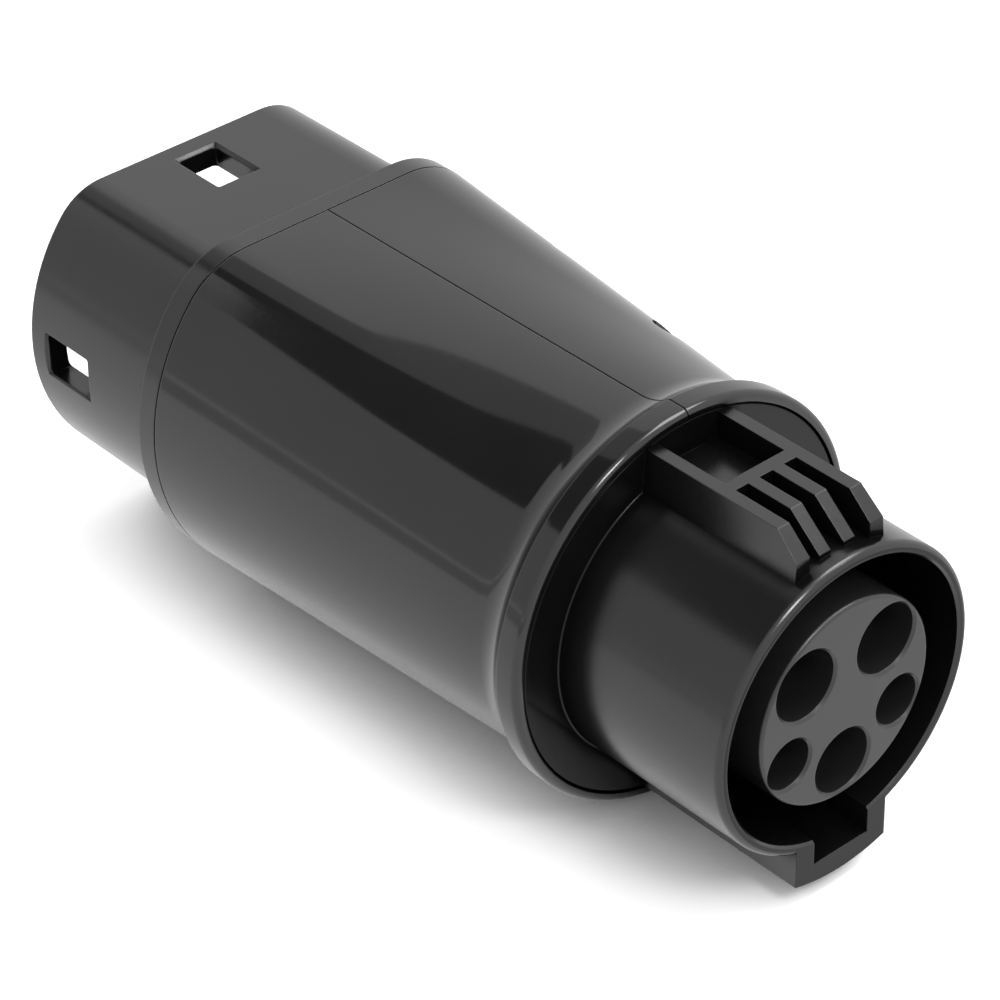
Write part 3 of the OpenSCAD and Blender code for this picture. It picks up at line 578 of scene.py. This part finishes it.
def light_tent():
    world = bpy.data.worlds.new("light_tent")
    bpy.context.scene.world = world
    world.use_nodes = True
    tree = world.node_tree
    parts = node(tree, "ShaderNodeSeparateXYZ")
    tree.links.new(node(tree, "ShaderNodeTexCoord").outputs["Generated"], parts.inputs[0])
    turn = reckoned(tree, parts.outputs["Y"], parts.outputs["X"], "ARCTAN2")
    share = ranged(tree, turn, 0.0, 1.0, -math.pi, math.pi)
    walls = node(tree, "ShaderNodeValToRGB")
    for _ in TENT_LEVELS[2:]:
        walls.color_ramp.elements.new(0.5)
    for stop, (degrees, level) in zip(walls.color_ramp.elements, TENT_LEVELS):
        stop.position = (degrees + 180) / 360
        stop.color = (level, level, level, 1.0)
    tree.links.new(share, walls.inputs["Fac"])
    tree.links.new(walls.outputs["Color"], tree.nodes["Background"].inputs["Color"])


def soft_lamp(name, at, aim, size, watts):
    data = bpy.data.lights.new(name, "AREA")
    data.shape, data.size, data.size_y, data.energy = "RECTANGLE", size[0], size[1], watts
    lamp = bpy.data.objects.new(name, data)
    bpy.context.collection.objects.link(lamp)
    lamp.location = at
    lamp.rotation_euler = (Vector(aim) - Vector(at)).to_track_quat("-Z", "Y").to_euler()


light_tent()
soft_lamp("lamp_over", (0.25, 0.45, 0.9), (0, 0, 0), (0.5, 0.5), 4.0)
soft_lamp("lamp_front", (0.60, -0.10, 0.70), (0, 0, 0), (0.22, 0.22), 2.0)
print("tent levels:", [level for _, level in TENT_LEVELS])

# %% [markdown]
# ## The cards
# The deep patch on the near shoulder is the mirror image of an opening in the tent, above and to the left,
# and its hard left end shows that the opening is close. A dark card paints the same reflection. A grey card
# beside it paints the softer step on the top, and a third lies on the floor far off and dims what the near
# side mirrors low down. Only mirror rays see them, so they are painted reflections that cast no shadow and
# never hide the object.

# %% Hang the cards
CARD_HEIGHT = 250 * MM
FLOOR_CARD_HEIGHT = 0.5 * MM
DARK_CARD = ((10, -240), (10, -28), (-300, -28), (-300, -62), (-157, -66), (-158, -100), (-165, -130),
             (-176, -165), (-190, -200), (-165, -240))
GREY_CARD = ((10, -28), (10, 50), (-300, 50), (-300, -28))
FAR_CARD = ((600, -280), (-1500, -280), (-1500, -900), (600, -900))


# A card that only mirror rays see is a painted reflection.
def hang_card(name, outline, height, level):
    data = bpy.data.meshes.new(name)
    data.from_pydata([(x * MM, y * MM, 0) for x, y in outline], [], [tuple(range(len(outline)))])
    card = bpy.data.objects.new(name, data)
    bpy.context.collection.objects.link(card)
    card.location.z = height
    material, tree, skin = new_material(name)
    skin.inputs["Base Color"].default_value = (0, 0, 0, 1)
    skin.inputs["Specular IOR Level"].default_value = 0.0
    skin.inputs["Emission Color"].default_value = (1, 1, 1, 1)
    skin.inputs["Emission Strength"].default_value = level
    data.materials.append(material)
    card.visible_camera = card.visible_diffuse = card.visible_shadow = card.visible_transmission = False
    return card


cards = [hang_card("dark_reflection_card", DARK_CARD, CARD_HEIGHT, 0.12),
         hang_card("grey_reflection_card", GREY_CARD, CARD_HEIGHT, 0.45),
         hang_card("far_reflection_card", FAR_CARD, FLOOR_CARD_HEIGHT, 0.62)]
print("cards:", [piece.name for piece in cards])

# %% [markdown]
# ## The floor
# A pale floor under the object catches its soft shadow. Its colour is nearly white, and a little light
# that only the camera sees lifts the open floor to plain white without lighting the object. The lift fades
# out near the object, where the photograph keeps its shadow, and so paints a deeper shadow there on top of
# the real one. Mirror rays see an even pale floor with a painted shadow that turns it dark right under the
# object.

# %% Lay the floor
FLOOR_SIZE = 8.0
FLOOR_DROP = 0.0002
FLOOR_WHITE = (0.9, 0.9, 0.9)
BLACK = (0.0, 0.0, 0.0)
FLOOR_LIFT = 0.48
MIRRORED_FLOOR = 0.98
SHADOW_REACH = 45 * MM


def lay_floor():
    data = bpy.data.meshes.new("floor")
    h = FLOOR_SIZE / 2
    data.from_pydata([(-h, -h, 0), (h, -h, 0), (h, h, 0), (-h, h, 0)], [], [(0, 1, 2, 3)])
    floor = bpy.data.objects.new("floor", data)
    bpy.context.collection.objects.link(floor)
    floor.location.z = -FLOOR_DROP
    material, tree, skin = new_material("pale_floor")
    skin.inputs["Roughness"].default_value = 0.9
    skin.inputs["Specular IOR Level"].default_value = 0.0
    rays = node(tree, "ShaderNodeLightPath")
    mirrored = rays.outputs["Is Glossy Ray"]
    # Painted shadow: occlusion darkens the floor near the object, for the camera and in mirrors.
    near = node(tree, "ShaderNodeAmbientOcclusion", samples=8, Distance=SHADOW_REACH).outputs["AO"]
    camera_lift_with_painted_shadow = reckoned(tree, rays.outputs["Is Camera Ray"], ranged(tree, near, 0.0, FLOOR_LIFT, 0.32, 0.43))
    mirrored_floor_with_painted_shadow = reckoned(tree, mirrored, ranged(tree, near, 0.02, MIRRORED_FLOOR, 0.18, 0.38))
    tree.links.new(reckoned(tree, camera_lift_with_painted_shadow, mirrored_floor_with_painted_shadow, "ADD"), skin.inputs["Emission Strength"])
    tree.links.new(blended(tree, mirrored, FLOOR_WHITE, BLACK), skin.inputs["Base Color"])
    skin.inputs["Emission Color"].default_value = (1, 1, 1, 1)
    data.materials.append(material)
    return floor


floor = lay_floor()
bpy.context.scene.view_settings.view_transform = "Standard"
print("floor:", FLOOR_SIZE, "m square")
